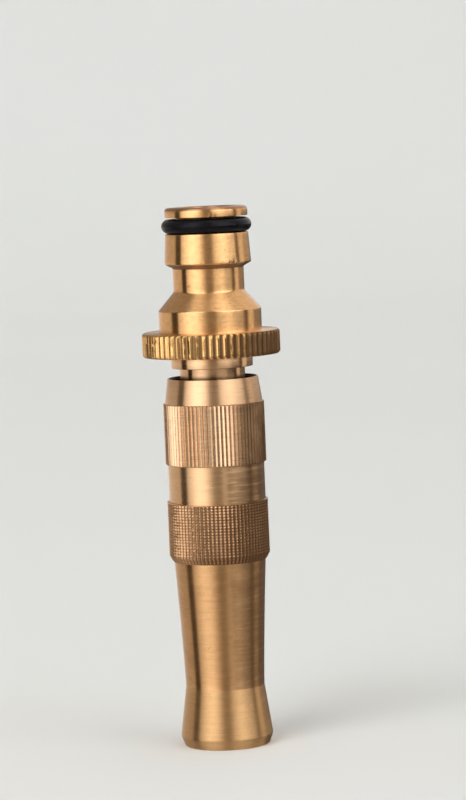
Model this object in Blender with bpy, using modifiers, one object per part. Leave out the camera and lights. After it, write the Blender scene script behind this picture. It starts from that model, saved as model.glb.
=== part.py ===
"""A brass twist nozzle for a garden hose: a quick-connect plug, a hollow stem and a screwed sleeve.

The nozzle stands on its outlet rim. Z runs along its axis, up towards the hose, and the
origin is the centre of the outlet rim. Lengths below are in millimetres; MM turns them into
Blender's metres. The sleeve is shown screwed home, which shuts the water off.
"""

import math

import bmesh
import bpy
from mathutils import Matrix

MM = 0.001
SEGMENTS = 36  # facets round a turned piece
MERGE = 1e-6  # metres, for points that meet on the axis
SHARP_ANGLE = math.radians(32)

# Quick-connect plug, top down
TIP_TOP = 104.3
TIP_RADIUS = 8.0
TIP_ROUND = 0.8
GROOVE_TOP = 102.45
GROOVE_BOTTOM = 99.3
GROOVE_RADIUS = 5.8
SHOULDER_HEIGHT = 93.5
SHOULDER_RADIUS = 8.35
NECK_TOP = 92.7
NECK_BOTTOM = 88.1
NECK_RADIUS = 6.85
BARREL_TOP = 84.6
BARREL_RADIUS = 9.9
PLUG_BORE_RADIUS = 4.75

# Knurled flange at the foot of the plug, and the socket that the stem screws into
FLANGE_TOP = 80.4
FLANGE_BOTTOM = 75.8
FLANGE_CREST = 13.33
FLANGE_ROOT = 13.0
FLANGE_TEETH = 62
RECESS_RADIUS = 8.84
SOCKET_FACE = 76.2
SOCKET_RADIUS = 7.0
SOCKET_TOP = 84.3
GASKET_GAP = 0.1  # above and below the gasket
GASKET_THICKNESS = 1.0
GASKET_INNER = 4.9
GASKET_OUTER = 6.8

# Stem, top down
SPIGOT_RADIUS = 6.85
SPIGOT_CHAMFER = 0.4
COLLAR_TOP = 75.6
COLLAR_BOTTOM = 73.5
COLLAR_RADIUS = 7.88
COLLAR_CHAMFER = 0.15
SHANK_RADIUS = 6.3
PISTON_TOP = 53.9
PISTON_BOTTOM = 35.5
PISTON_RADIUS = 6.65
PISTON_CHAMFER = 0.5
SEAL_HEIGHTS = (42.0, 37.6)
SEAL_GROOVE_RADIUS = 4.9
SEAL_GROOVE_WIDTH = 2.3
NOSE_RADIUS = 4.6
NOSE_BOTTOM = 17.0
STEM_BORE_RADIUS = 3.8
STEM_BORE_BOTTOM = 25.5
PORT_HEIGHT = 29.0
PORT_RADIUS = 1.7
PIN_SHOULDER_RADIUS = 4.0
PIN_SHOULDER = 16.25
PIN_GROOVE_RADIUS = 2.3
PIN_GROOVE_BOTTOM = 14.45
PIN_RADIUS = 2.7
PIN_TIP = 11.2
PIN_CHAMFER = 0.5

# Screw thread between the stem and the sleeve, right-handed with a single start
PITCH = 2.0
THREAD_CORE = 7.0
THREAD_CREST = 7.8
NUT_BORE = 8.0
NUT_CREST = 7.2
THREAD_BURIED = 0.1
RIDGE_BASE_HALF = 0.58
RIDGE_CREST_HALF = 0.2
THREAD_STEPS = 24  # facets in one turn
STEM_THREAD_START = 54.6
STEM_THREAD_TURNS = 4
NUT_THREAD_START = STEM_THREAD_START - PITCH / 2
NUT_THREAD_TURNS = 6

# Sleeve outside, top down
RIM_HEIGHT = 71.5
RIM_RADIUS = 8.75
MOUTH_RADIUS = 8.1
MOUTH_CHAMFER = 0.4
SLEEVE_RADIUS = 9.3
TAPER_RADIUS = 9.42
GRIP_CREST = 9.75
GRIP_ROOT = 9.5
GRIP_TEETH = 76
UPPER_GRIP = (54.9, 66.7)
LOWER_GRIP = (36.05, 47.65)
GRIP_TAPER = 1.2  # height over which the lower grip's teeth slope in to the barrel
BARREL_START = LOWER_GRIP[0]
BARREL_START_RADIUS = 8.85
BARREL_EASE = 1.25  # 1 makes a straight taper, more flattens it towards the waist
BARREL_STEPS = 5
WAIST_HEIGHT = 11.5
WAIST_RADIUS = 7.62
LIP_HEIGHT = 1.9
LIP_RADIUS = 8.95
FOOT_RADIUS = 8.25

# Sleeve inside, top down
THREAD_ZONE_TOP = 66.4
THREAD_ZONE_BOTTOM = 52.6
SEAL_BORE_TOP = 51.7
SEAL_BORE_RADIUS = 6.9
SEAL_BORE_BOTTOM = 33.0
CHAMBER_RADIUS = 6.3
CHAMBER_TOP = 32.4
THROAT_TOP = 14.0
THROAT_RADIUS = 3.0
THROAT_BOTTOM = 12.0
BELL = ((4.2, 7.5), (5.6, 3.4), (7.1, 0))  # (radius, height) points of the flared outlet

# O-rings: (ring radius to the middle of the cord, cord radius)
PLUG_RING = (7.3, 1.4)
PLUG_RING_GAP = 0.05  # between the ring and the lower side of its groove
STEM_RING = (5.9, 0.9)
SHUTOFF_RING = (3.15, 0.75)
SHUTOFF_RING_HEIGHT = 15.35

BRASS_YELLOW = (0.78, 0.56, 0.28, 1)
BRASS_WARM = (0.76, 0.52, 0.32, 1)
RUBBER_BLACK = (0.02, 0.02, 0.022, 1)

OVERSHOOT = 2.0  # how far a cutter runs past the face that it opens


def clear_scene():
    for obj in list(bpy.data.objects):
        bpy.data.objects.remove(obj)


def new_collection(name):
    collection = bpy.data.collections.new(name)
    bpy.context.scene.collection.children.link(collection)
    return collection


def new_material(name, color, roughness, metallic):
    material = bpy.data.materials.new(name)
    material.use_nodes = True
    shader = material.node_tree.nodes["Principled BSDF"]
    shader.inputs["Base Color"].default_value = color
    shader.inputs["Roughness"].default_value = roughness
    shader.inputs["Metallic"].default_value = metallic
    material.diffuse_color = color
    return material


def add_object(name, mesh, collection):
    obj = bpy.data.objects.new(name, mesh)
    collection.objects.link(obj)
    return obj


def add_helper(name, mesh):
    """A shape that only cuts or joins another."""
    obj = add_object(name, mesh, helpers)
    obj.hide_render = True
    obj.display_type = "WIRE"
    return obj


def turn(obj):
    screw = obj.modifiers.new("Turn", "SCREW")
    screw.steps = SEGMENTS
    screw.render_steps = SEGMENTS
    screw.use_merge_vertices = True
    screw.merge_threshold = MERGE
    return obj


def profile_mesh(name, points):
    """A line of (radius, height) points in the XZ plane, open where both its ends lie on the axis."""
    mesh = bpy.data.meshes.new(name)
    edges = [(i, i + 1) for i in range(len(points) - 1)]
    if points[0][0] > 0:
        edges.append((len(points) - 1, 0))
    mesh.from_pydata([(radius * MM, 0, height * MM) for radius, height in points], edges, [])
    return mesh


def arc(center, radius, start, end, steps):
    """Points of a circle's arc in (radius, height), with angles in degrees from the outward direction."""
    angles = [math.radians(start + (end - start) * i / steps) for i in range(steps + 1)]
    return [(center[0] + radius * math.cos(a), center[1] + radius * math.sin(a)) for a in angles]


def boolean(obj, other, operation):
    modifier = obj.modifiers.new(other.name, "BOOLEAN")
    modifier.operation = operation
    modifier.object = other


def settle(obj, material):
    """Turns the object's modifiers into a plain mesh, smooth except at real edges."""
    bpy.context.view_layer.update()
    graph = bpy.context.evaluated_depsgraph_get()
    mesh = bpy.data.meshes.new_from_object(obj.evaluated_get(graph))
    obj.modifiers.clear()
    mesh.materials.clear()
    mesh.materials.append(material)
    mesh.shade_smooth()
    mesh.set_sharp_from_angle(angle=SHARP_ANGLE)
    obj.data = mesh
    obj.data.name = obj.name


def knurl(name, teeth, rings):
    """A disc with straight V-shaped teeth round it. Each ring is (crest radius, root radius, height)."""
    corners = 2 * teeth
    points = []
    for crest, root, height in rings:
        for i in range(corners):
            radius = (crest if i % 2 else root) * MM
            angle = 2 * math.pi * i / corners
            points.append((radius * math.cos(angle), radius * math.sin(angle), height * MM))
    faces = [tuple(reversed(range(corners))), tuple(range(len(points) - corners, len(points)))]
    for low in range(0, len(points) - corners, corners):
        for i in range(corners):
            after = (i + 1) % corners
            faces.append((low + i, low + after, low + corners + after, low + corners + i))
    mesh = bpy.data.meshes.new(name)
    mesh.from_pydata(points, [], faces)
    return add_helper(name, mesh)


def thread_ridge(name, base, crest, start, turns):
    """A right-handed helical ridge that stands on radius base and reaches radius crest."""
    section = [
        (base, -RIDGE_BASE_HALF),
        (crest, -RIDGE_CREST_HALF),
        (crest, RIDGE_CREST_HALF),
        (base, RIDGE_BASE_HALF),
    ]
    bm = bmesh.new()
    corners = [bm.verts.new((radius * MM, 0, (start + rise) * MM)) for radius, rise in section]
    face = bm.faces.new(corners)
    steps = THREAD_STEPS * turns
    bmesh.ops.spin(
        bm,
        geom=[*corners, *face.edges, face],
        cent=(0, 0, 0),
        axis=(0, 0, 1),
        dvec=(0, 0, PITCH * turns / steps * MM),
        angle=2 * math.pi * turns,
        steps=steps,
    )
    bmesh.ops.recalc_face_normals(bm, faces=bm.faces[:])
    mesh = bpy.data.meshes.new(name)
    bm.to_mesh(mesh)
    bm.free()
    return add_helper(name, mesh)


def cross_drill(name, radius, reach, height, angle):
    """A rod across the axis, for a pair of opposite holes."""
    bm = bmesh.new()
    bmesh.ops.create_cone(
        bm,
        cap_ends=True,
        segments=12,
        radius1=radius * MM,
        radius2=radius * MM,
        depth=2 * reach * MM,
        matrix=Matrix.Translation((0, 0, height * MM))
        @ Matrix.Rotation(angle, 4, "Z")
        @ Matrix.Rotation(math.pi / 2, 4, "Y"),
    )
    mesh = bpy.data.meshes.new(name)
    bm.to_mesh(mesh)
    bm.free()
    return add_helper(name, mesh)


def o_ring(name, sizes, height):
    ring_radius, cord_radius = sizes
    bpy.ops.mesh.primitive_torus_add(
        major_segments=SEGMENTS,
        minor_segments=8,
        major_radius=ring_radius * MM,
        minor_radius=cord_radius * MM,
        location=(0, 0, height * MM),
    )
    obj = bpy.context.object
    obj.name = name
    for collection in list(obj.users_collection):
        collection.objects.unlink(obj)
    nozzle.objects.link(obj)
    settle(obj, rubber)
    return obj


def make_tail_plug():
    """The quick-connect plug with its knurled flange, and the socket for the stem under it."""
    tip_corner = (TIP_RADIUS - TIP_ROUND, TIP_TOP - TIP_ROUND)
    outside = [
        (0, TIP_TOP),
        *reversed(arc(tip_corner, TIP_ROUND, 0, 90, 3)),
        (TIP_RADIUS, GROOVE_TOP),
        (GROOVE_RADIUS, GROOVE_TOP),
        (GROOVE_RADIUS, GROOVE_BOTTOM),
        (TIP_RADIUS, GROOVE_BOTTOM),
        (SHOULDER_RADIUS, SHOULDER_HEIGHT),
        (NECK_RADIUS, NECK_TOP),
        (NECK_RADIUS, NECK_BOTTOM),
        (BARREL_RADIUS, BARREL_TOP),
        (BARREL_RADIUS, SOCKET_FACE),
        (0, SOCKET_FACE),
    ]
    bore = [
        (0, TIP_TOP + OVERSHOOT),
        (PLUG_BORE_RADIUS, TIP_TOP + OVERSHOOT),
        (PLUG_BORE_RADIUS, SOCKET_TOP),
        (SOCKET_RADIUS, SOCKET_TOP),
        (SOCKET_RADIUS, FLANGE_BOTTOM - OVERSHOOT),
        (0, FLANGE_BOTTOM - OVERSHOOT),
    ]
    # The flange stands a little lower than the barrel, so the underside is recessed round the socket.
    recess = [
        (0, SOCKET_FACE),
        (RECESS_RADIUS, SOCKET_FACE),
        (RECESS_RADIUS, FLANGE_BOTTOM - OVERSHOOT),
        (0, FLANGE_BOTTOM - OVERSHOOT),
    ]
    plug = turn(add_object("tail_plug", profile_mesh("tail_plug", outside), nozzle))
    rings = [(FLANGE_CREST, FLANGE_ROOT, height) for height in (FLANGE_BOTTOM, FLANGE_TOP)]
    flange = knurl("flange_teeth", FLANGE_TEETH, rings)
    boolean(plug, flange, "UNION")
    boolean(plug, turn(add_helper("plug_recess", profile_mesh("plug_recess", recess))), "DIFFERENCE")
    boolean(plug, turn(add_helper("plug_bore", profile_mesh("plug_bore", bore))), "DIFFERENCE")
    settle(plug, brass_yellow)


def make_tail_gasket():
    """The flat rubber washer that the stem presses against the end of the plug's socket."""
    top = SOCKET_TOP - GASKET_GAP
    bottom = top - GASKET_THICKNESS
    section = [
        (GASKET_OUTER, top),
        (GASKET_OUTER, bottom),
        (GASKET_INNER, bottom),
        (GASKET_INNER, top),
    ]
    gasket = turn(add_object("tail_gasket", profile_mesh("tail_gasket", section), nozzle))
    settle(gasket, rubber)


def seal_groove(height):
    """The outline of an O-ring groove round the stem's piston, top down."""
    half = SEAL_GROOVE_WIDTH / 2
    return [
        (PISTON_RADIUS, height + half),
        (SEAL_GROOVE_RADIUS, height + half),
        (SEAL_GROOVE_RADIUS, height - half),
        (PISTON_RADIUS, height - half),
    ]


def make_stem():
    """The fixed inner tube: spigot, collar, shank, thread, piston with two grooves, ported nose and pin."""
    stem_top = SOCKET_TOP - GASKET_THICKNESS - 2 * GASKET_GAP
    thread_top = STEM_THREAD_START + STEM_THREAD_TURNS * PITCH + PITCH / 2
    outside = [
        (STEM_BORE_RADIUS, stem_top),
        (SPIGOT_RADIUS - SPIGOT_CHAMFER, stem_top),
        (SPIGOT_RADIUS, stem_top - SPIGOT_CHAMFER),
        (SPIGOT_RADIUS, COLLAR_TOP),
        (COLLAR_RADIUS - COLLAR_CHAMFER, COLLAR_TOP),
        (COLLAR_RADIUS, COLLAR_TOP - COLLAR_CHAMFER),
        (COLLAR_RADIUS, COLLAR_BOTTOM + COLLAR_CHAMFER),
        (COLLAR_RADIUS - COLLAR_CHAMFER, COLLAR_BOTTOM),
        (SHANK_RADIUS, COLLAR_BOTTOM),
        (SHANK_RADIUS, thread_top + THREAD_CORE - SHANK_RADIUS),
        (THREAD_CORE, thread_top),
        (THREAD_CORE, PISTON_TOP),
        (PISTON_RADIUS, PISTON_TOP + PISTON_RADIUS - THREAD_CORE),
    ]
    for height in SEAL_HEIGHTS:
        outside += seal_groove(height)
    outside += [
        (PISTON_RADIUS, PISTON_BOTTOM + PISTON_CHAMFER),
        (PISTON_RADIUS - PISTON_CHAMFER, PISTON_BOTTOM),
        (NOSE_RADIUS, PISTON_BOTTOM),
        (NOSE_RADIUS, NOSE_BOTTOM),
        (PIN_SHOULDER_RADIUS, PIN_SHOULDER),
        (PIN_GROOVE_RADIUS, PIN_SHOULDER),
        (PIN_GROOVE_RADIUS, PIN_GROOVE_BOTTOM),
        (PIN_RADIUS, PIN_GROOVE_BOTTOM),
        (PIN_RADIUS, PIN_TIP + PIN_CHAMFER),
        (PIN_RADIUS - PIN_CHAMFER, PIN_TIP),
        (0, PIN_TIP),
    ]
    blind_bore = [(0, STEM_BORE_BOTTOM), (STEM_BORE_RADIUS, STEM_BORE_BOTTOM + STEM_BORE_RADIUS / 2)]
    stem = turn(add_object("stem", profile_mesh("stem", blind_bore + outside), nozzle))
    ridge = thread_ridge(
        "stem_thread", THREAD_CORE - THREAD_BURIED, THREAD_CREST, STEM_THREAD_START, STEM_THREAD_TURNS
    )
    boolean(stem, ridge, "UNION")
    for angle in (math.radians(45), math.radians(135)):
        drill = cross_drill("port_drill", PORT_RADIUS, NOSE_RADIUS + OVERSHOOT, PORT_HEIGHT, angle)
        boolean(stem, drill, "DIFFERENCE")
    settle(stem, brass_warm)


def barrel_outline():
    """The sleeve's front barrel, top down: a taper that eases into the waist, then a straight flare."""
    outline = []
    for step in range(BARREL_STEPS + 1):
        down = step / BARREL_STEPS
        left = (1 - down) ** BARREL_EASE
        height = BARREL_START + (WAIST_HEIGHT - BARREL_START) * down
        outline.append((WAIST_RADIUS + (BARREL_START_RADIUS - WAIST_RADIUS) * left, height))
    return [*outline, (LIP_RADIUS, LIP_HEIGHT)]


def make_sleeve():
    """The turning sleeve: two knurled grips and a waisted barrel, with thread, seal bore and seat inside."""
    outside = [
        (0, RIM_HEIGHT),
        (RIM_RADIUS, RIM_HEIGHT),
        (TAPER_RADIUS, UPPER_GRIP[1]),
        (SLEEVE_RADIUS, UPPER_GRIP[1] + SLEEVE_RADIUS - TAPER_RADIUS),
        (SLEEVE_RADIUS, BARREL_START + GRIP_TAPER),
        *barrel_outline(),
        (FOOT_RADIUS, 0),
        (0, 0),
    ]
    seat_top = THROAT_TOP + CHAMBER_RADIUS - THROAT_RADIUS
    bore = [
        (0, RIM_HEIGHT + OVERSHOOT),
        (MOUTH_RADIUS + MOUTH_CHAMFER + OVERSHOOT, RIM_HEIGHT + OVERSHOOT),
        (MOUTH_RADIUS, RIM_HEIGHT - MOUTH_CHAMFER),
        (MOUTH_RADIUS, THREAD_ZONE_TOP),
        (NUT_BORE, THREAD_ZONE_TOP + NUT_BORE - MOUTH_RADIUS),
        (NUT_BORE, THREAD_ZONE_BOTTOM),
        (SEAL_BORE_RADIUS, SEAL_BORE_TOP),
        (SEAL_BORE_RADIUS, SEAL_BORE_BOTTOM),
        (CHAMBER_RADIUS, CHAMBER_TOP),
        (CHAMBER_RADIUS, seat_top),
        (THROAT_RADIUS, THROAT_TOP),
        (THROAT_RADIUS, THROAT_BOTTOM),
        *BELL,
        (BELL[-1][0], -OVERSHOOT),
        (0, -OVERSHOOT),
    ]
    sleeve = turn(add_object("sleeve", profile_mesh("sleeve", outside), nozzle))
    grip_end = BARREL_START_RADIUS + GRIP_CREST - GRIP_ROOT
    upper_rings = [(GRIP_CREST, GRIP_ROOT, height) for height in UPPER_GRIP]
    lower_rings = [
        (grip_end, BARREL_START_RADIUS, LOWER_GRIP[0]),
        (GRIP_CREST, GRIP_ROOT, LOWER_GRIP[0] + GRIP_TAPER),
        (GRIP_CREST, GRIP_ROOT, LOWER_GRIP[1]),
    ]
    boolean(sleeve, knurl("upper_grip", GRIP_TEETH, upper_rings), "UNION")
    boolean(sleeve, knurl("lower_grip", GRIP_TEETH, lower_rings), "UNION")
    boolean(sleeve, turn(add_helper("sleeve_bore", profile_mesh("sleeve_bore", bore))), "DIFFERENCE")
    ridge = thread_ridge(
        "sleeve_thread", NUT_BORE + THREAD_BURIED, NUT_CREST, NUT_THREAD_START, NUT_THREAD_TURNS
    )
    boolean(sleeve, ridge, "UNION")
    settle(sleeve, brass_warm)


clear_scene()
nozzle = new_collection("Hose spray nozzle")
helpers = new_collection("Cutters")
brass_yellow = new_material("Brass plug", BRASS_YELLOW, 0.22, 1.0)
brass_warm = new_material("Brass sleeve", BRASS_WARM, 0.3, 1.0)
rubber = new_material("Black rubber", RUBBER_BLACK, 0.45, 0.0)

make_tail_plug()
make_tail_gasket()
make_stem()
make_sleeve()
o_ring("plug_o_ring", PLUG_RING, GROOVE_BOTTOM + PLUG_RING_GAP + PLUG_RING[1])
o_ring("upper_stem_o_ring", STEM_RING, SEAL_HEIGHTS[0])
o_ring("lower_stem_o_ring", STEM_RING, SEAL_HEIGHTS[1])
o_ring("shutoff_o_ring", SHUTOFF_RING, SHUTOFF_RING_HEIGHT)
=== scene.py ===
"""The look of the brass hose nozzle: turned and knurled pieces, brass and rubber, studio and camera.

Outlines are lists of (radius, height, rounding) corners in millimetres. They run down the outside
of a piece and back up its inside. MM turns millimetres into Blender's metres.
"""

import math

import bmesh
import bpy
import numpy as np
from mathutils import Matrix, Vector


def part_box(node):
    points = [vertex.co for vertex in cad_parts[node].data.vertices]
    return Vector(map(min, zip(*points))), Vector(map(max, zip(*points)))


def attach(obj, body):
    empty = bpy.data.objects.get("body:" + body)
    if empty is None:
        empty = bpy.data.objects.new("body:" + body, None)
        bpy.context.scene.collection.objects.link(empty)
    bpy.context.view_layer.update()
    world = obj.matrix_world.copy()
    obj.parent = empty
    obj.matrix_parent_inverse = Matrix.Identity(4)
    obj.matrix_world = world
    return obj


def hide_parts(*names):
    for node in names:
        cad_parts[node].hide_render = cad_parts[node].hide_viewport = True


MM = 0.001
TURN = 2 * math.pi

# Quick-connect plug
TIP_ROUND = 0.8
GROOVE_TOP = 102.45
GROOVE_BOTTOM = 99.3
GROOVE_RADIUS = 5.8
TIP_RADIUS = 8.0
SHOULDER = (8.35, 93.5)
NECK_RADIUS = 6.85
NECK = (88.1, 92.7)
BARREL = (9.9, 84.6)
FLANGE_TEETH = 62
FLANGE_HEIGHT = 4.6
FLANGE_ROOT = 13.03
FLANGE_CHAMFER = 0.34
RECESS = (8.84, 0.4)  # radius and depth of the recess under the flange
SOCKET_RADIUS = 7.0
SOCKET_TOP = 84.3
PLUG_BORE_RADIUS = 4.75

# Sleeve
GRIP_TEETH = 76
GRIP_ROOT = 9.52
GRIP_CREST = 9.75
UPPER_GRIP = (54.9, 66.7)
LOWER_GRIP = (36.05, 47.65)
GRIP_END = 0.14  # height in which the teeth run out at a grip's ends
GRIP_TAPER = 1.2  # height over which the lower grip slopes in to the barrel
BEAD_PITCH = 0.56
BEAD_DEPTH = 0.15
BEAD_ROWS = 5
LOWER_GRIP_RIM = 0.22
SMOOTH_RADIUS = 9.3
TAPER_RADIUS = 9.42
MOUTH_RADIUS = 8.1
BARREL_START = (8.85, 36.05)
BARREL_EASE = 1.25
WAIST = (7.62, 11.5)
LIP = (8.95, 1.9)
FOOT_RADIUS = 8.25
RIM_OUTER = 8.75
RIM_INNER = 8.5
SHELL_INNER = 7.2  # the barrel's outside lies further out than this
SHADED_BORE_ABOVE = 60.0  # height from which the bore is painted dark, as painted shade inside the mouth
OUTLET = [(7.1, 0, 0.12), (5.6, 3.4, 0.8), (4.2, 7.5, 0.8)]  # the outlet's flare, from the foot up
THROAT = (3.0, 12.0, 14.0)  # radius, bottom, top
CHAMBER = (6.3, 17.3, 32.4)
SEAL_BORE = (6.9, 33.0, 51.7)
NUT_BORE = (8.0, 52.6, 66.3)

# Screw thread between stem and sleeve
PITCH = 2.0
RIDGE_BASE_HALF = 0.58
RIDGE_CREST_HALF = 0.2
THREAD_BURIED = 0.1
STEM_THREAD = (7.0, 7.8, 54.6, 4)  # core radius, crest radius, start height, turns
NUT_THREAD = (8.0, 7.2, 53.6, 6)

# Stem
STEM_BORE_RADIUS = 3.8
STEM_BORE_BOTTOM = 25.5
SPIGOT_RADIUS = 6.85
COLLAR = (7.88, 73.5, 75.6)
SHANK_RADIUS = 6.3
PISTON_RADIUS = 6.65
PISTON = (35.5, 53.9)
SEAL_HEIGHTS = (42.0, 37.6)
SEAL_GROOVE_RADIUS = 4.9
SEAL_GROOVE_WIDTH = 2.3
NOSE = (4.6, 17.0)  # radius and lower end
CLOSING_CONE = (4.0, 16.25)
CLOSING_GROOVE = (2.3, 14.45)
PIN_RADIUS = 2.7
PORT_HEIGHT = 29.0
PORT_RADIUS = 1.7

# Fineness of the meshes
SHARP_ANGLE = math.radians(24)
CORNER_SHARE = 0.48  # the most of an edge that one corner's rounding takes
THREAD_STEPS = 72  # in one turn
TOOTH_PHASES = (0.03, 0.09, 0.46, 0.54, 0.91, 0.97)  # where each tooth has points, across it
FLANGE_PHASES = (0.03, 0.15, 0.46, 0.54, 0.85, 0.97)

# Knurls
TOOTH_CREST_HALF = 0.04  # of a tooth's width
TOOTH_FLANK = 0.42
TOOTH_LEAN = 0.08
TOOTH_WEAR = (0.88, 0.98)  # how much of its height a tooth keeps
FLANGE_BURR = 0.03
GRIP_BURR = 0.012
NICK_FLATNESS = 2.5  # how many times wider than high a knock is

random = np.random.default_rng(7)


# ---------------------------------------------------------------- geometry


def rounded(corners, steps=4):
    """The (radius, height) points of an outline, each corner cut back by its rounding and curved."""
    points = []
    for i, (radius, height, rounding) in enumerate(corners):
        here = Vector((radius, height))
        if not rounding:
            points.append(here)
            continue
        before = Vector(corners[i - 1][:2]) - here
        after = Vector(corners[(i + 1) % len(corners)][:2]) - here
        start = here + before.normalized() * min(rounding, before.length * CORNER_SHARE)
        end = here + after.normalized() * min(rounding, after.length * CORNER_SHARE)
        for t in np.linspace(0, 1, steps + 1):
            points.append(start * (1 - t) ** 2 + here * 2 * t * (1 - t) + end * t**2)
    return points


def even_angles(count):
    return np.arange(count) * TURN / count


def tooth_angles(teeth, phases):
    """Angles that give every tooth points at the same phases, which run from 0 to 1 across it."""
    return ((np.arange(teeth)[:, None] + np.array(phases)) * TURN / teeth).ravel()


def lathe(name, outline, angles, shape=None):
    """A turned piece. shape(angle, radius, height) moves its points and says how dark they are painted:
    deposits and painted shade in grooves and recesses.
    """
    radius = np.array([p[0] for p in outline])[:, None] + 0 * angles
    height = np.array([p[1] for p in outline])[:, None] + 0 * angles
    angle = 0 * radius + angles
    grime_and_shade = np.zeros_like(radius)
    if shape:
        radius, height, grime_and_shade = shape(angle, radius, height)
    points = np.stack([radius * np.cos(angle), radius * np.sin(angle), height], axis=-1) * MM
    rows, columns = radius.shape
    solid = outline[0][0] == 0
    this = np.arange(rows - 1 if solid else rows)[:, None] * columns
    below = (this + columns) % (rows * columns)
    here, beside = np.arange(columns), (np.arange(columns) + 1) % columns
    faces = np.stack([this + here, below + here, below + beside, this + beside], axis=-1)
    mesh = bpy.data.meshes.new(name)
    mesh.from_pydata(points.reshape(-1, 3).tolist(), [], faces.reshape(-1, 4).tolist())
    layer = mesh.attributes.new("grime_and_shade", "FLOAT", "POINT")
    layer.data.foreach_set("value", grime_and_shade.ravel())
    if solid:
        bm = bmesh.new()
        bm.from_mesh(mesh)
        bmesh.ops.remove_doubles(bm, verts=bm.verts[:], dist=1e-8)
        bm.to_mesh(mesh)
        bm.free()
    return add_piece(name, mesh)


def add_piece(name, mesh):
    mesh.shade_smooth()
    mesh.set_sharp_from_angle(angle=SHARP_ANGLE)
    obj = bpy.data.objects.new(name, mesh)
    bpy.context.scene.collection.objects.link(obj)
    return obj


def thread(name, sizes):
    """A helical ridge, closed at both ends, whose foot lies inside the wall that carries it."""
    wall, crest, start, turns = sizes
    foot = wall + THREAD_BURIED * (1 if wall > crest else -1)
    section = [
        (foot, -RIDGE_BASE_HALF),
        (crest, -RIDGE_CREST_HALF),
        (crest, RIDGE_CREST_HALF),
        (foot, RIDGE_BASE_HALF),
    ]
    radius, rise = np.array(section).T
    turn = np.arange(THREAD_STEPS * turns + 1)[:, None] / THREAD_STEPS
    angle = turn * TURN
    height = start + rise + turn * PITCH
    points = np.stack([radius * np.cos(angle), radius * np.sin(angle), height], axis=-1) * MM
    here = np.arange(len(section))
    beside = (here + 1) % len(section)
    this = np.arange(len(turn) - 1)[:, None] * len(section)
    after = this + len(section)
    faces = np.stack([this + here, after + here, after + beside, this + beside], axis=-1)
    ends = [here.tolist(), (after[-1] + here[::-1]).tolist()]
    mesh = bpy.data.meshes.new(name)
    mesh.from_pydata(points.reshape(-1, 3).tolist(), [], faces.reshape(-1, 4).tolist() + ends)
    if wall > crest:
        mesh.flip_normals()
    return add_piece(name, mesh)


def ramp(value, start, end):
    """0 before start, 1 after end and straight between."""
    return np.clip((value - start) / (end - start), 0, 1)


def window(value, low, high, soft):
    """1 between low and high, falling to 0 at each over the distance soft."""
    return ramp(value, low, low + soft) * ramp(-value, -high, -high + soft)


def teeth(angle, count):
    """Height of a V-shaped knurl, from 0 in its grooves to 1 on its slightly worn crests."""
    turn = angle * count / TURN
    offset = turn % 1 - 0.5
    tooth = np.floor(turn).astype(int) % count
    lean = random.normal(0, TOOTH_LEAN, count)[tooth] * offset * (0.5 - np.abs(offset)) * 4
    wear = random.uniform(*TOOTH_WEAR, count)[tooth]
    flank = 1 - (np.abs(offset) - TOOTH_CREST_HALF) / TOOTH_FLANK + lean
    return np.clip(np.minimum(flank, wear), 0, 1)


def nicks(angle, radius, height, places):
    """How far knocks push the surface in. A place is (degrees from +X, height, size, depth)."""
    depth = np.zeros_like(radius)
    for degrees, level, size, deep in places:
        turn = (angle - math.radians(degrees) + math.pi) % TURN - math.pi
        away = (turn * radius) ** 2 + (NICK_FLATNESS * (height - level)) ** 2
        depth = np.maximum(depth, deep * np.exp(-away / size**2))
    return depth


# ---------------------------------------------------------------- pieces


def plug_outline():
    low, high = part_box("tail_plug")
    top, bottom, crest = high.z / MM, low.z / MM, high.x / MM
    flange_top = bottom + FLANGE_HEIGHT
    rim = crest - FLANGE_CHAMFER
    levels = [
        (rim, flange_top),
        *((crest, h) for h in np.linspace(flange_top - 0.06, flange_top - FLANGE_CHAMFER, 4)),
        *((crest, h) for h in np.linspace(flange_top - 0.8, bottom + 0.8, 7)),
        *((crest, h) for h in np.linspace(bottom + FLANGE_CHAMFER, bottom + 0.06, 4)),
        (rim, bottom),
    ]
    outside = [
        (TIP_RADIUS, top, TIP_ROUND),
        (TIP_RADIUS, GROOVE_TOP, 0.08),
        (GROOVE_RADIUS, GROOVE_TOP, 0.1),
        (GROOVE_RADIUS, GROOVE_BOTTOM, 0.1),
        (TIP_RADIUS, GROOVE_BOTTOM, 0.15),
        (*SHOULDER, 0.22),
        (NECK_RADIUS, NECK[1], 0.12),
        (NECK_RADIUS, NECK[0], 0.3),
        (*BARREL, 0.14),
        (BARREL[0], flange_top, 0.1),
        (rim - 0.5, flange_top, 0),
    ]
    inside = [
        (rim - 0.6, bottom, 0),
        (RECESS[0], bottom, 0.1),
        (RECESS[0], bottom + RECESS[1], 0),
        (SOCKET_RADIUS, bottom + RECESS[1], 0),
        (SOCKET_RADIUS, SOCKET_TOP, 0),
        (PLUG_BORE_RADIUS, SOCKET_TOP, 0.1),
        (PLUG_BORE_RADIUS, top, 0.35),
    ]
    corners = [*outside, *[(r, h, 0) for r, h in levels], *inside]
    return spread(rounded(corners, steps=5), 0.5)


def spread(points, reach):
    """The outline with extra points, so that none is further than reach from the next."""
    filled = []
    for here, after in zip(points, [*points[1:], points[0]]):
        gap = (Vector(after) - Vector(here)).length
        count = min(12, max(1, math.ceil(gap / reach)))
        filled += [tuple(Vector(here).lerp(Vector(after), i / count)) for i in range(count)]
    return filled


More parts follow.
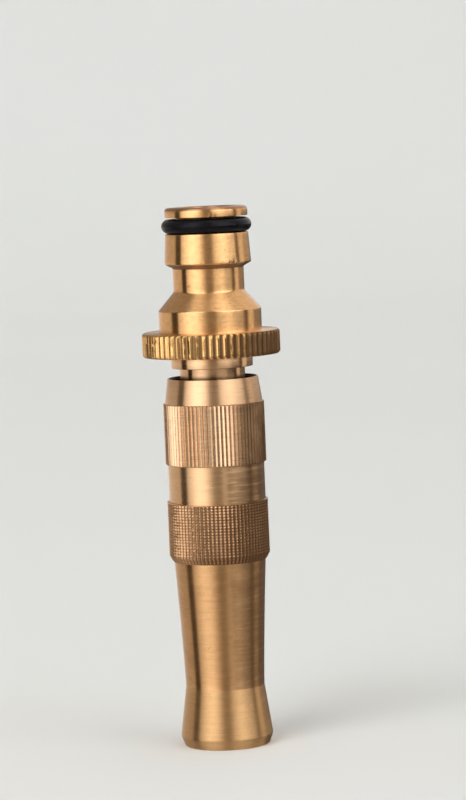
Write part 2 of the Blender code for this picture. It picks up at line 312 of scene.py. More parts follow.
def shape_plug(angle, radius, height):
    low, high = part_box("tail_plug")
    bottom, crest = low.z / MM, high.x / MM
    rise = teeth(angle, FLANGE_TEETH)
    near_face = np.minimum(height - bottom, bottom + FLANGE_HEIGHT - height)
    limit = crest - np.clip(FLANGE_CHAMFER - near_face, 0, FLANGE_CHAMFER)
    burr = 1 - FLANGE_BURR * random.random(radius.shape)
    knurled = np.minimum(FLANGE_ROOT + (crest - FLANGE_ROOT) * rise * burr, limit)
    on_teeth = radius > crest - FLANGE_CHAMFER - 0.01
    # The roots between the flange's teeth are painted dark: deposits and painted shade.
    grime_and_shade = np.where(on_teeth, np.clip(1.9 - 1.9 * rise, 0, 1), 0)
    radius = np.where(on_teeth, knurled, radius)
    outside = (radius > NECK_RADIUS) & (height > bottom)
    dents = nicks(angle, radius, height, PLUG_NICKS) * outside
    # The O-ring groove is painted dark all over: painted shade in the recess.
    groove = (height < GROOVE_TOP + 0.01) & (height > GROOVE_BOTTOM) & (radius < TIP_RADIUS - 0.1)
    grime_and_shade = np.maximum(np.maximum(grime_and_shade, groove), np.clip(dents / 0.12, 0, 1))
    return radius - dents, height, grime_and_shade


PLUG_NICKS = [
    (-52, 93.7, 0.36, 0.11),
    (-58, 93.6, 0.24, 0.09),
    (-70, 93.5, 0.3, 0.05),
    (-84, 102.5, 0.35, 0.12),
    (-78, 102.5, 0.3, 0.08),
    (-97, 93.8, 0.22, 0.06),
    (120, 93.6, 0.4, 0.12),
    (40, 102.5, 0.3, 0.1),
]

SLEEVE_NICKS = [
    (-122, 13.9, 0.3, 0.06),
    (-58, 49.3, 0.4, 0.05),
    (-66, 49.0, 0.3, 0.05),
    (-128, 45.2, 0.32, 0.15),
    (-70, 17.9, 0.3, 0.04),
    (30, 22.0, 0.4, 0.05),
    (150, 40.1, 0.4, 0.12),
]


def barrel_outline():
    """The sleeve's front barrel, top down: a taper that eases into the waist, then a straight flare."""
    outline = []
    for down in np.linspace(0, 1, 16):
        radius = WAIST[0] + (BARREL_START[0] - WAIST[0]) * (1 - down) ** BARREL_EASE
        outline.append((radius, BARREL_START[1] + (WAIST[1] - BARREL_START[1]) * down))
    return outline


def sleeve_outline():
    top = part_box("sleeve")[1].z / MM
    upper = UPPER_GRIP
    lower = LOWER_GRIP
    end_levels = np.array([0, 0.35, 0.7, 1]) * GRIP_END
    upper_levels = [*(upper[1] - end_levels)]
    upper_levels += [*np.linspace(upper[1] - 0.6, upper[0] + 0.6, 12)]
    upper_levels += [*(upper[0] + end_levels[::-1])]
    bead_count = round((lower[1] - lower[0] - LOWER_GRIP_RIM) / BEAD_PITCH * BEAD_ROWS)
    lower_levels = [*np.linspace(lower[1], lower[1] - LOWER_GRIP_RIM, 4)[:-1]]
    lower_levels += [*np.linspace(lower[1] - LOWER_GRIP_RIM, lower[0], bead_count + 1)]
    corners = [
        (RIM_OUTER, top, 0.06),
        (TAPER_RADIUS, upper[1] + 0.02, 0),
        *[(GRIP_ROOT, level, 0) for level in upper_levels],
        (SMOOTH_RADIUS, upper[0] - 0.06, 0),
        (SMOOTH_RADIUS, lower[1] + 0.04, 0),
        *[(GRIP_ROOT, level, 0) for level in lower_levels],
        *[(radius, level, 0) for radius, level in barrel_outline()],
        (*LIP, 0.2),
        (FOOT_RADIUS, 0, 0.2),
        *OUTLET,
        (THROAT[0], THROAT[1], 0.3),
        (THROAT[0], THROAT[2], 0.2),
        (CHAMBER[0], CHAMBER[1], 0.2),
        (CHAMBER[0], CHAMBER[2], 0),
        (SEAL_BORE[0], SEAL_BORE[1], 0),
        (SEAL_BORE[0], SEAL_BORE[2], 0),
        (NUT_BORE[0], NUT_BORE[1], 0),
        (NUT_BORE[0], NUT_BORE[2], 0),
        (MOUTH_RADIUS, NUT_BORE[2] + 0.1, 0),
        (MOUTH_RADIUS, top - 0.4, 0.1),
        (RIM_INNER, top, 0.05),
    ]
    return rounded(corners, steps=3)


def shape_sleeve(angle, radius, height):
    on_grip = np.abs(radius - GRIP_ROOT) < 0.001
    rise = teeth(angle, GRIP_TEETH) * (1 - GRIP_BURR * random.random(radius.shape))
    upper = window(height, *UPPER_GRIP, GRIP_END) * on_grip
    lower = ((height > LOWER_GRIP[0] - 0.01) & (height < LOWER_GRIP[1] + 0.01)) * on_grip
    below_rim = LOWER_GRIP[1] - LOWER_GRIP_RIM - height
    bead = 0.5 + 0.5 * np.cos(TURN * below_rim / BEAD_PITCH)
    share_down = ramp(below_rim, 0, LOWER_GRIP[1] - LOWER_GRIP[0])
    patchy = 0.8 + 0.2 * np.sin(3 * angle + height * 0.9) * np.sin(5 * angle - height * 1.7)
    cut = bead * (1.0 - 0.5 * share_down) * patchy * random.uniform(0.75, 1.15, radius.shape)
    depth = GRIP_CREST - GRIP_ROOT
    lower_rise = np.maximum(rise - cut * BEAD_DEPTH / depth * np.clip(rise * 2, 0, 1), 0)
    lower_rise = np.where(below_rim < -0.02, 0.96, lower_rise) * lower
    run_out = ramp(-height, -LOWER_GRIP[0] - GRIP_TAPER, -LOWER_GRIP[0]) * lower
    run_out = run_out * (BARREL_START[0] - GRIP_ROOT)
    moved = radius + depth * (rise * upper + lower_rise) + run_out
    # Knurl roots and bead valleys are painted dark, deposits and painted shade; the lower grip gets
    # darker towards the bottom.
    grime_and_shade = 0.6 * np.clip(1 - 2.5 * rise, 0, 1) * (upper > 0)
    grime_and_shade += (0.1 + 0.4 * share_down + 0.6 * cut + np.clip(1 - 2.5 * lower_rise, 0, 1)) * lower
    outside = (radius > WAIST[0] - 0.12) & (height < UPPER_GRIP[1])
    dents = nicks(angle, moved, height, SLEEVE_NICKS) * outside
    return moved - dents, height, np.clip(np.maximum(grime_and_shade, dents / 0.08), 0, 1)


def stem_outline():
    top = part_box("stem")[1].z / MM
    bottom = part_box("stem")[0].z / MM
    thread_top = STEM_THREAD[2] + STEM_THREAD[3] * PITCH + PITCH / 2
    corners = [
        (0, STEM_BORE_BOTTOM, 0),
        (STEM_BORE_RADIUS, STEM_BORE_BOTTOM + STEM_BORE_RADIUS / 2, 0),
        (STEM_BORE_RADIUS, top, 0.2),
        (SPIGOT_RADIUS, top, 0.4),
        (SPIGOT_RADIUS, COLLAR[2], 0),
        (COLLAR[0], COLLAR[2], 0.16),
        (COLLAR[0], COLLAR[1], 0.14),
        (SHANK_RADIUS, COLLAR[1], 0.1),
        (SHANK_RADIUS, thread_top + STEM_THREAD[0] - SHANK_RADIUS, 0.1),
        (STEM_THREAD[0], thread_top, 0),
        (STEM_THREAD[0], PISTON[1], 0),
        (PISTON_RADIUS, PISTON[1] - 0.35, 0),
    ]
    for level in SEAL_HEIGHTS:
        high, low = level + SEAL_GROOVE_WIDTH / 2, level - SEAL_GROOVE_WIDTH / 2
        corners += [
            (PISTON_RADIUS, high, 0.1),
            (SEAL_GROOVE_RADIUS, high, 0.1),
            (SEAL_GROOVE_RADIUS, low, 0.1),
            (PISTON_RADIUS, low, 0.1),
        ]
    corners += [
        (PISTON_RADIUS, PISTON[0], 0.5),
        (NOSE[0], PISTON[0], 0.1),
        (*NOSE, 0.1),
        (*CLOSING_CONE, 0.05),
        (CLOSING_GROOVE[0], CLOSING_CONE[1], 0.05),
        (*CLOSING_GROOVE, 0.05),
        (PIN_RADIUS, CLOSING_GROOVE[1], 0.1),
        (PIN_RADIUS, bottom, 0.5),
        (0, bottom, 0),
    ]
    return rounded(corners, steps=3)


def drill_ports(stem):
    """Two rods across the nose, cut out of the stem, leave its four water ports."""
    for degrees in (45, 135):
        bpy.ops.mesh.primitive_cylinder_add(
            vertices=48,
            radius=PORT_RADIUS * MM,
            depth=4 * NOSE[0] * MM,
            location=(0, 0, PORT_HEIGHT * MM),
            rotation=(0, math.pi / 2, math.radians(degrees)),
        )
        drill = bpy.context.object
        cut = stem.modifiers.new("port", "BOOLEAN")
        cut.operation = "DIFFERENCE"
        cut.object = drill
        bpy.context.view_layer.update()
        graph = bpy.context.evaluated_depsgraph_get()
        mesh = bpy.data.meshes.new_from_object(stem.evaluated_get(graph))
        stem.modifiers.clear()
        stem.data = mesh
        bpy.data.objects.remove(drill)


def ring_outline(node, flash):
    """The section of an O-ring, a circle with a fine moulding line of height flash at its widest."""
    low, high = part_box(node)
    cord = (high.z - low.z) / MM / 2
    middle = (high.z + low.z) / MM / 2
    ring = high.x / MM - cord
    points = []
    for t in even_angles(48):
        bulge = flash * math.exp(-((math.remainder(t, TURN) / 0.09) ** 2))
        out = cord + bulge - flash
        points.append((ring + out * math.cos(t), middle - out * math.sin(t)))
    return points


# ---------------------------------------------------------------- materials


class Nodes:
    """Short calls for building a node tree."""

    def __init__(self, tree):
        self.tree = tree

    def add(self, kind, settings=None, **inputs):
        node = self.tree.nodes.new(kind)
        for key, value in (settings or {}).items():
            setattr(node, key, value)
        for key, value in inputs.items():
            socket = node.inputs[int(key[1:]) if key[1:].isdigit() else key]
            if isinstance(value, bpy.types.NodeSocket):
                self.tree.links.new(value, socket)
            else:
                socket.default_value = value
        return node

    def math(self, operation, a, b=0.0, c=0.0):
        return self.add("ShaderNodeMath", {"operation": operation}, i0=a, i1=b, i2=c).outputs[0]

    def vector(self, operation, a, b=(0, 0, 0)):
        node = self.add("ShaderNodeVectorMath", {"operation": operation}, i0=a, i1=b)
        return node.outputs["Value" if operation == "LENGTH" else "Vector"]

    def blend(self, factor, a, b, mode="MIX"):
        """Mixes two colours."""
        kind = {"data_type": "RGBA", "blend_type": mode}
        return self.add("ShaderNodeMix", kind, i0=factor, i6=a, i7=b).outputs[2]

    def darken(self, color, share):
        """Multiplies a colour by a number."""
        grey = self.add("ShaderNodeCombineColor", i0=share, i1=share, i2=share).outputs[0]
        return self.blend(1.0, color, grey, "MULTIPLY")

    def range(self, value, low, high, out_low=0.0, out_high=1.0, smooth=True):
        kind = {"interpolation_type": "SMOOTHSTEP" if smooth else "LINEAR"}
        limits = {"i1": low, "i2": high, "i3": out_low, "i4": out_high}
        return self.add("ShaderNodeMapRange", kind, i0=value, **limits).outputs[0]

    def noise(self, vector, scale, detail=2.0, roughness=0.5, distortion=0.0, w=None):
        kind = {"noise_dimensions": "4D" if w is not None else "3D"}
        node = self.add("ShaderNodeTexNoise", kind, Vector=vector, Scale=scale, Detail=detail)
        node.inputs["Roughness"].default_value = roughness
        node.inputs["Distortion"].default_value = distortion
        if w is not None:
            self.tree.links.new(w, node.inputs["W"])
        return node.outputs[0]


def new_material(name):
    material = bpy.data.materials.new(name)
    material.use_nodes = True
    return material, Nodes(material.node_tree), material.node_tree.nodes["Principled BSDF"]


# Colour of dark specks, and of the darkening in grooves, recesses and nicks: deposits and painted
# shade.
GRIME_AND_SHADE = (0.13, 0.06, 0.025, 1)
# A brown darkening towards +X on the turned metals: painted shade on that side.
SIDE_SHADE = (0.17, 0.09, 0.042, 1)

# Pitches of the lines that a cutting tool leaves, in metres
FINE_LINES = 0.00016
COARSE_LINES = 0.0006
SMEARS = 0.0011


def turned_lines(n, position, pitch, around):
    """Noise drawn out round the axis, as a cutting tool leaves it, with lines a pitch apart."""
    split = n.add("ShaderNodeSeparateXYZ", i0=position)
    flat = n.add("ShaderNodeCombineXYZ", X=split.outputs[0], Y=split.outputs[1]).outputs[0]
    along = n.vector("SCALE", n.vector("NORMALIZE", flat))
    along.node.inputs["Scale"].default_value = around
    rise = n.add("ShaderNodeCombineXYZ", Z=n.math("DIVIDE", split.outputs[2], pitch)).outputs[0]
    out = n.math("DIVIDE", n.vector("LENGTH", flat), pitch)
    return n.noise(n.vector("ADD", along, rise), 1.0, detail=3.0, roughness=0.6, w=out)


def brass(
    name,
    clean,
    tarnish,
    roughness,
    stain=0.5,
    lines=1.0,
    mottle=0.0,
    side_shade=0.0,
    side=(3, 7),
    knurled=False,
):
    """Turned brass: fine tool lines, stains that dull it, scratches, and dark deposits with painted
    shade in its grooves.

    The +X side is the more worn one, so stains and scratches are stronger towards +X, and so is the
    groove darkening, which is partly painted shade. A brown darkening deepens that way too, between the
    two distances
    in side, in millimetres: painted shade on that side. Stain and lines say how strong the stains and
    the tool lines are.
    Mottle is the share of light that fine specks all over the metal take away.
    """
    material, n, shader = new_material(name)
    position = n.add("ShaderNodeTexCoord").outputs["Object"]
    across = n.add("ShaderNodeSeparateXYZ", i0=position).outputs[0]
    fine = turned_lines(n, position, FINE_LINES, 2.5)
    coarse = turned_lines(n, position, COARSE_LINES, 1.2)

    blotches = n.noise(position, 110, detail=6.0, roughness=0.62, distortion=0.6)
    stained = n.range(blotches, 0.62 - 0.2 * stain, 0.8 - 0.12 * stain)
    smear = n.range(turned_lines(n, position, SMEARS, 7.0), 0.5, 0.78)
    weather = n.range(across, -0.002, 0.006, 0.35, 1.0)
    worn = n.math("MULTIPLY", n.math("MAXIMUM", stained, n.math("MULTIPLY", smear, 0.6)), weather)
    worn = n.math("MULTIPLY", worn, stain)
    specks = n.range(n.noise(position, 900, detail=2.0), 0.7, 0.76)
    slant = {"Rotation": (0.3, 0.12, 0), "Scale": (260, 260, 5200)}
    scratch_space = n.add("ShaderNodeMapping", Vector=position, **slant).outputs[0]
    scratches = n.range(n.noise(scratch_space, 1.0, detail=1.0), 0.66, 0.72)

    tone = n.blend(worn, (*clean, 1), (*tarnish, 1))
    both = n.math("ADD", n.math("MULTIPLY", fine, 0.5), n.math("MULTIPLY", coarse, 0.5))
    streaks = n.range(both, 0.3, 0.7)
    tone = n.darken(tone, n.range(streaks, 0, 1, 1 - 0.16 * lines, 1.0, smooth=False))
    speckle = n.noise(position, 1100, detail=4.0, roughness=0.65)
    tone = n.darken(tone, n.range(speckle, 0.35, 0.6, 1 - mottle, 1.0))
    scored = n.math("MULTIPLY", scratches, n.range(across, 0.0, 0.003, 0.2, 0.2 + 0.5 * side_shade))
    tone = n.blend(scored, tone, (*[c * 0.4 for c in clean], 1))
    tone = n.blend(n.math("MULTIPLY", specks, 0.35), tone, GRIME_AND_SHADE)
    grime_and_shade_fac = n.add("ShaderNodeAttribute", {"attribute_name": "grime_and_shade"}).outputs["Fac"]
    # The attribute's darkening, deposits and painted shade, is weaker towards -X: painted light on that
    # side.
    grime_and_shade_share = n.math("MULTIPLY", n.range(grime_and_shade_fac, 0.2, 1.0), n.range(across, -0.008, 0.0, 0.3, 0.92))
    tone = n.blend(grime_and_shade_share, tone, GRIME_AND_SHADE)
    # Painted shade: a brown darkening towards +X, between the distances in side.
    side_shaded = n.math("MULTIPLY", n.range(across, side[0] * MM, side[1] * MM), side_shade)
    side_shaded = n.math("MULTIPLY", side_shaded, n.range(blotches, 0.3, 0.55, 0.75, 1.05))
    if not knurled:
        side_shaded = n.math("MULTIPLY", side_shaded, n.range(coarse, 0.36, 0.56, 0.7, 1.08))
    tone = n.blend(side_shaded, tone, SIDE_SHADE)
    n.tree.links.new(tone, shader.inputs["Base Color"])

    rough = n.math("MULTIPLY_ADD", worn, 0.12, roughness)
    rough = n.math("MULTIPLY_ADD", streaks, 0.05 * lines, rough)
    rough = n.math("MULTIPLY_ADD", grime_and_shade_share, 0.2, rough)
    rough = n.math("MULTIPLY_ADD", side_shaded, 0.12, rough)
    n.tree.links.new(rough, shader.inputs["Roughness"])
    shader.inputs["Metallic"].default_value = 1.0
    shader.inputs["Anisotropic"].default_value = 0.0 if knurled else 0.9
    shader.inputs["Anisotropic Rotation"].default_value = 0.25
    tangent = n.add("ShaderNodeTangent", {"direction_type": "RADIAL", "axis": "Z"})
    n.tree.links.new(tangent.outputs[0], shader.inputs["Tangent"])

    height = n.math("ADD", n.math("MULTIPLY", fine, 0.35), n.math("MULTIPLY", coarse, 1.0))
    height = n.math("SUBTRACT", height, n.math("MULTIPLY", scratches, 0.5))
    if knurled:
        height = n.noise(position, 2400, detail=2.0)
    bump = n.add("ShaderNodeBump", Height=height, Strength=0.5 * lines, Distance=0.000012)
    n.tree.links.new(bump.outputs[0], shader.inputs["Normal"])
    return material


def rubber():
    """Black moulded rubber, matte, with a little dust and the faint ripple of its moulding."""
    material, n, shader = new_material("Black rubber")
    position = n.add("ShaderNodeTexCoord").outputs["Object"]
    dust = n.range(n.noise(position, 1500, detail=3.0), 0.62, 0.78)
    bloom = n.noise(position, 220, detail=3.0)
    black, greyed = (0.002, 0.002, 0.003, 1), (0.008, 0.007, 0.010, 1)
    tone = n.blend(n.math("MULTIPLY", bloom, 0.5), black, greyed)
    tone = n.blend(n.math("MULTIPLY", dust, 0.25), tone, (0.06, 0.055, 0.06, 1))
    shader.inputs["Specular IOR Level"].default_value = 0.15
    n.tree.links.new(tone, shader.inputs["Base Color"])
    n.tree.links.new(n.range(bloom, 0.3, 0.7, 0.22, 0.3), shader.inputs["Roughness"])
    grain = n.noise(position, 2600, detail=2.0)
    bump = n.add("ShaderNodeBump", Height=grain, Strength=0.25, Distance=0.00001)
    n.tree.links.new(bump.outputs[0], shader.inputs["Normal"])
    return material


# ---------------------------------------------------------------- studio and camera


FLOOR_RADIUS = 1.6
WALL_TOP = 3.0


def pale_floor():
    """A pale round floor whose edge sweeps up into a wall.

    The nozzle stands on its sleeve, so the floor follows the sleeve.
    """
    profile = [(0.0, 0.0), (FLOOR_RADIUS, 0.0)]
    for t in np.linspace(0.1, math.pi / 2, 12):
        profile.append((FLOOR_RADIUS + math.sin(t), 1 - math.cos(t)))
    profile.append((FLOOR_RADIUS + 1, WALL_TOP))
    mesh = bpy.data.meshes.new("floor")
    edges = [(i, i + 1) for i in range(len(profile) - 1)]
    mesh.from_pydata([(r, 0, z) for r, z in profile], edges, [])
    floor = bpy.data.objects.new("floor", mesh)
    bpy.context.scene.collection.objects.link(floor)
    screw = floor.modifiers.new("sweep", "SCREW")
    screw.steps = screw.render_steps = 96
    screw.use_merge_vertices = True
    screw.merge_threshold = 0.0001
    material, n, shader = new_material("Pale floor")
    position = n.add("ShaderNodeTexCoord").outputs["Object"]
    tone = n.blend(n.noise(position, 3.0), (0.76, 0.77, 0.74, 1), (0.8, 0.8, 0.78, 1))
    n.tree.links.new(tone, shader.inputs["Base Color"])
    shader.inputs["Roughness"].default_value = 0.9
    mesh.materials.append(material)
    floor.visible_glossy = False
    floor.visible_shadow = False
    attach(floor, "sleeve")


# Light round the object by direction: degrees to the right of the camera, and brightness. There
# are two rings, for high and for level directions: the right soft box hangs too high to be seen
# in level ones.
HIGH_LIGHT = [
    (-180, 0.34),
    (-98, 0.34),
    (-94, 0.1),
    (-77, 0.1),
    (-75, 0.9),
    (-62, 1.3),
    (-47, 1.9),
    (-30, 1.9),
    (-18, 1.3),
    (-7, 0.34),
    (0, 0.26),
    (12, 0.29),
    (17, 1.0),
    (42, 2.3),
    (60, 1.8),
    (82, 1.3),
    (85, 0.17),
    (92, 0.17),
    (95, 0.78),
    (180, 0.78),
]
LEVEL_LIGHT = [
    (-180, 0.8),
    (-98, 0.8),
    (-94, 0.02),
    (-77, 0.02),
    (-75, 0.9),
    (-47, 1.9),
    (-30, 1.6),
    (-16, 0.7),
    (-7, 0.32),
    (0, 0.2),
    (14, 0.21),
    (22, 0.52),
    (50, 0.48),
    (60, 0.08),
    (95, 0.06),
    (98, 0.8),
    (112, 0.8),
    (118, 0.15),
    (180, 0.1),
]
OVERHEAD_LIGHT = (0.5, 0.95)  # left and right
UNDER_LIGHT = (0.38, 0.16)  # even light from below, and the share of the high ring added to it
FLOOR_GLOW = 0.22  # in front of the nozzle, from the floor
BACKDROP_LIGHT = 0.8  # what the camera itself sees
BRIGHTEST = 2.4  # no stop of a ring is brighter

# Degrees above the horizon between which one light gives way to the next
LEVEL_TO_HIGH = (-3, 5)
LOW_TO_LEVEL = (-19, -6)
GLOW_TO_LEVEL = (-14, -7)
UNDER_TO_LOW = (-42, -24)
HIGH_TO_OVERHEAD = (55, 75)

# The lamp that lights the floor and the rubber
KEY_SIZE = 0.7
KEY_POWER = 5.0
KEY_PLACE = (-0.5, -0.7, 0.9)


def light_ring(n, place, stops):
    """Brightness for each direction round the object, from (degrees, brightness) stops."""
    ring = n.add("ShaderNodeValToRGB", i0=place)
    elements = ring.color_ramp.elements
    for i, (degrees, light) in enumerate(stops):
        where = degrees / 360 + 0.5
        stop = elements[i] if i < 2 else elements.new(where)
        stop.position = where
        level = light / BRIGHTEST
        stop.color = (level, level, level, 1)
    return n.math("MULTIPLY", ring.outputs[0], BRIGHTEST)


def studio_light():
    """A light tent with two tall soft boxes beside the camera, dark gaps at their edges, and a lamp."""
    world = bpy.data.worlds.new("Studio")
    bpy.context.scene.world = world
    world.use_nodes = True
    n = Nodes(world.node_tree)
    background = world.node_tree.nodes["Background"]
    direction = n.add("ShaderNodeTexCoord").outputs["Generated"]
    split = n.add("ShaderNodeSeparateXYZ", i0=direction)
    x, y, z = split.outputs
    turn = n.math("ARCTAN2", x, n.math("MULTIPLY", y, -1.0))
    place = n.math("MULTIPLY_ADD", turn, 1 / TURN, 0.5)
    elevation = n.math("MULTIPLY", n.math("ARCSINE", z), 180 / math.pi)

    def shift(factor, low, high):
        return n.add("ShaderNodeMix", {"data_type": "FLOAT"}, i0=factor, i2=low, i3=high).outputs[0]

    high = light_ring(n, place, HIGH_LIGHT)
    level = shift(n.range(elevation, *LEVEL_TO_HIGH), light_ring(n, place, LEVEL_LIGHT), high)
    level = n.math("MULTIPLY", level, n.range(elevation, *LOW_TO_LEVEL, 0.4, 1.0))
    ahead = n.range(n.math("ABSOLUTE", turn), 0.2, 0.5, FLOOR_GLOW, 0.0)
    level = n.math("MULTIPLY_ADD", ahead, n.range(elevation, *GLOW_TO_LEVEL, 1.0, 0.0), level)
    under = n.math("MULTIPLY_ADD", high, UNDER_LIGHT[1], UNDER_LIGHT[0])
    level = shift(n.range(elevation, *UNDER_TO_LOW), under, level)
    overhead = n.range(x, -0.15, 0.15, *OVERHEAD_LIGHT)
    level = shift(n.range(elevation, *HIGH_TO_OVERHEAD), level, overhead)
    level = shift(n.add("ShaderNodeLightPath").outputs["Is Camera Ray"], level, BACKDROP_LIGHT)
    n.tree.links.new(level, background.inputs["Strength"])
    warm, cool = (1, 0.91, 0.83, 1), (1, 1.03, 1.08, 1)
    tint = n.blend(n.range(level, 0.2, 1.6), warm, cool)
    n.tree.links.new(tint, background.inputs["Color"])

    key = bpy.data.lights.new("key", "AREA")
    key.shape = "DISK"
    key.size = KEY_SIZE
    key.energy = KEY_POWER
    lamp = bpy.data.objects.new("key", key)
    lamp.location = KEY_PLACE
    towards = Vector((0, 0, 0.05)) - lamp.location
    lamp.rotation_euler = towards.to_track_quat("-Z", "Y").to_euler()
    lamp.visible_glossy = False
    lamp.visible_camera = False
    bpy.context.scene.collection.objects.link(lamp)


# The camera looks slightly down at the nozzle, and is rolled a little
CAMERA_DISTANCE = 0.6296
CAMERA_HEIGHT_ANGLE = 4.87
CAMERA_LEAN = -2.36
AIM_HEIGHT = 0.067
AIM_RIGHT = 0.00376
LENS = 146.8
SENSOR = 36.0


def add_camera():
    up_angle = math.radians(CAMERA_HEIGHT_ANGLE)
    lean = math.radians(CAMERA_LEAN)
    right = Vector((1, 0, 0))
    up = Vector((0, math.sin(up_angle), math.cos(up_angle)))
    back = Vector((0, -math.cos(up_angle), math.sin(up_angle)))
    tilted = right * math.cos(lean) + up * math.sin(lean)
    up = up * math.cos(lean) - right * math.sin(lean)
    right = tilted
    place = Vector((0, 0, AIM_HEIGHT)) + right * AIM_RIGHT + back * CAMERA_DISTANCE
    data = bpy.data.cameras.new("camera")
    data.lens = LENS
    data.sensor_width = SENSOR
    camera = bpy.data.objects.new("camera", data)
    facing = Matrix((right, up, back)).transposed().to_4x4()
    camera.matrix_world = Matrix.Translation(place) @ facing
    bpy.context.scene.collection.objects.link(camera)
    bpy.context.scene.camera = camera


# ---------------------------------------------------------------- assembly


def finish_piece(piece, node, body, material):
    piece.data.materials.clear()
    piece.data.materials.append(material)
    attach(piece, body)
    if node:
        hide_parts(node)


def paint(piece, material, low, high, inner=0.0, outer=math.inf):
    """Gives the faces within a band of heights and radii, all in millimetres, their own metal."""
    piece.data.materials.append(material)
    slot = len(piece.data.materials) - 1
    for face in piece.data.polygons:
        x, y, z = face.center / MM
        if low < z < high and inner < math.hypot(x, y) < outer:
            face.material_index = slot


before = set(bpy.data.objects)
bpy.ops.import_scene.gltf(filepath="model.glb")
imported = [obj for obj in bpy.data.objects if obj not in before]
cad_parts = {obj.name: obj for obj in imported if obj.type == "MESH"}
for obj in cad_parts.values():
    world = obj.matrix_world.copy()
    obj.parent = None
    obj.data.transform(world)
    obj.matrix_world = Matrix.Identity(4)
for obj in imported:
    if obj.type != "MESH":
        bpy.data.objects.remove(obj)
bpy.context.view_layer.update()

bpy.context.scene.view_settings.view_transform = "Standard"
add_camera()
pale_floor()
studio_light()

# Each metal's brown darkening towards +X, between the distances in side, is painted shade.
plug_brass = brass(
    "Plug brass",
    clean=(0.95, 0.54, 0.23),
    tarnish=(0.6, 0.3, 0.13),
    roughness=0.23,
    lines=0.45,
    mottle=0.1,
)
tip_brass = brass(
    "Tip brass",
    clean=(0.6, 0.32, 0.17),
    tarnish=(0.42, 0.19, 0.1),
    roughness=0.3,
    stain=0.9,
    lines=0.4,
    mottle=0.15,
)
# Painted shade: dark brass for the underside of the plug's shoulder and the top of the stem's collar,
# under the flange.
painted_shade_brass = brass(
    "Painted shade brass", clean=(0.42, 0.24, 0.12), tarnish=(0.25, 0.13, 0.06), roughness=0.45
)
flange_brass = brass(
    "Flange brass",
    clean=(1.0, 0.57, 0.215),
    tarnish=(0.78, 0.39, 0.14),
    roughness=0.17,
    mottle=0.08,
    side_shade=0.9,
    side=(3.5, 9),
    knurled=True,
)
stem_brass = brass(
    "Stem brass", clean=(0.95, 0.59, 0.32), tarnish=(0.6, 0.33, 0.15), roughness=0.19
)
taper_brass = brass(
    "Taper brass",
    clean=(0.95, 0.6, 0.33),
    tarnish=(0.62, 0.35, 0.15),
    roughness=0.27,
    side_shade=0.2,
    side=(0.8, 3),
)
grip_brass = brass(
    "Grip brass",
    clean=(0.97, 0.62, 0.36),
    tarnish=(0.6, 0.35, 0.18),
    roughness=0.21,
    mottle=0.08,
    side_shade=0.88,
    side=(4, 7),
    knurled=True,
)
sleeve_brass = brass(
    "Sleeve brass",
    clean=(0.95, 0.59, 0.31),
    tarnish=(0.62, 0.35, 0.15),
    roughness=0.26,
    side_shade=0.72,
    side=(0.8, 2.6),
)
worn_grip_brass = brass(
    "Worn grip brass",
    clean=(0.86, 0.5, 0.26),
    tarnish=(0.5, 0.28, 0.14),
    roughness=0.24,
    stain=0.7,
    side_shade=0.9,
    side=(2, 7),
    knurled=True,
)
barrel_brass = brass(
    "Barrel brass",
    clean=(0.8, 0.45, 0.2),
    tarnish=(0.5, 0.27, 0.11),
    roughness=0.27,
    stain=0.8,
    mottle=0.06,
    side_shade=0.55,
    side=(0.8, 2.6),
)
flare_brass = brass(
    "Flare brass",
    clean=(0.8, 0.47, 0.21),
    tarnish=(0.62, 0.35, 0.14),
    roughness=0.35,
    stain=0.4,
    mottle=0.06,
)
# Painted shade: dark, dull brass for the bore inside the mouth.
painted_shade_bore = brass(
    "Painted shade bore", clean=(0.06, 0.035, 0.02), tarnish=(0.04, 0.022, 0.012), roughness=0.6
)
black_rubber = rubber()

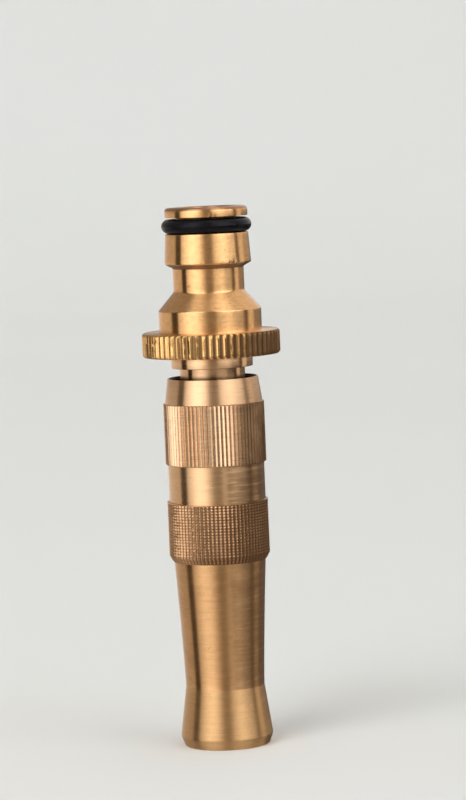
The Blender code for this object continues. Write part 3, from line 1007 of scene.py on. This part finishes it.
plug = lathe("plug", plug_outline(), tooth_angles(FLANGE_TEETH, FLANGE_PHASES), shape_plug)
finish_piece(plug, "tail_plug", "tail", plug_brass)
flange_bottom, tip_top = (corner.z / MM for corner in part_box("tail_plug"))
paint(plug, flange_brass, flange_bottom, flange_bottom + FLANGE_HEIGHT, inner=FLANGE_ROOT - 0.3)
paint(plug, tip_brass, tip_top - 0.5, math.inf)
# Painted shade under the plug's shoulder, on the neck's top.
under_shoulder = {"inner": PLUG_BORE_RADIUS + 0.1, "outer": SHOULDER[0] - 0.1}
paint(plug, painted_shade_brass, NECK[1] - 0.2, SHOULDER[1] - 0.08, **under_shoulder)

sleeve = lathe("turning_sleeve", sleeve_outline(), tooth_angles(GRIP_TEETH, TOOTH_PHASES), shape_sleeve)
finish_piece(sleeve, "sleeve", "sleeve", sleeve_brass)
paint(sleeve, taper_brass, UPPER_GRIP[1], math.inf, inner=RIM_INNER + 0.01)
paint(sleeve, grip_brass, *UPPER_GRIP, inner=SMOOTH_RADIUS)
paint(sleeve, worn_grip_brass, *LOWER_GRIP, inner=BARREL_START[0] - 0.02)
paint(sleeve, barrel_brass, WAIST[1], BARREL_START[1], inner=SHELL_INNER)
paint(sleeve, flare_brass, -1, WAIST[1], inner=SHELL_INNER)
# The bore inside the mouth is painted dark: painted shade.
paint(sleeve, painted_shade_bore, SHADED_BORE_ABOVE, math.inf, outer=RIM_INNER)
finish_piece(thread("sleeve_thread", NUT_THREAD), None, "sleeve", sleeve_brass)

stem = lathe("hollow_stem", stem_outline(), even_angles(192))
drill_ports(stem)
finish_piece(stem, "stem", "tail", stem_brass)
# Painted shade: a dark band at the top of the collar, under the flange.
paint(stem, painted_shade_brass, COLLAR[2] - 0.3, COLLAR[2] + 0.1, inner=SPIGOT_RADIUS + 0.1)
finish_piece(thread("stem_thread", STEM_THREAD), None, "tail", stem_brass)

for node, body, flash in [
    ("plug_o_ring", "tail", 0.03),
    ("shutoff_o_ring", "tail", 0.015),
    ("upper_stem_o_ring", "turning_seals", 0.02),
    ("lower_stem_o_ring", "turning_seals", 0.02),
]:
    ring = lathe(node + "_moulded", ring_outline(node, flash), even_angles(144))
    finish_piece(ring, node, body, black_rubber)

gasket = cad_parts["tail_gasket"]
gasket.data.materials.clear()
gasket.data.materials.append(black_rubber)
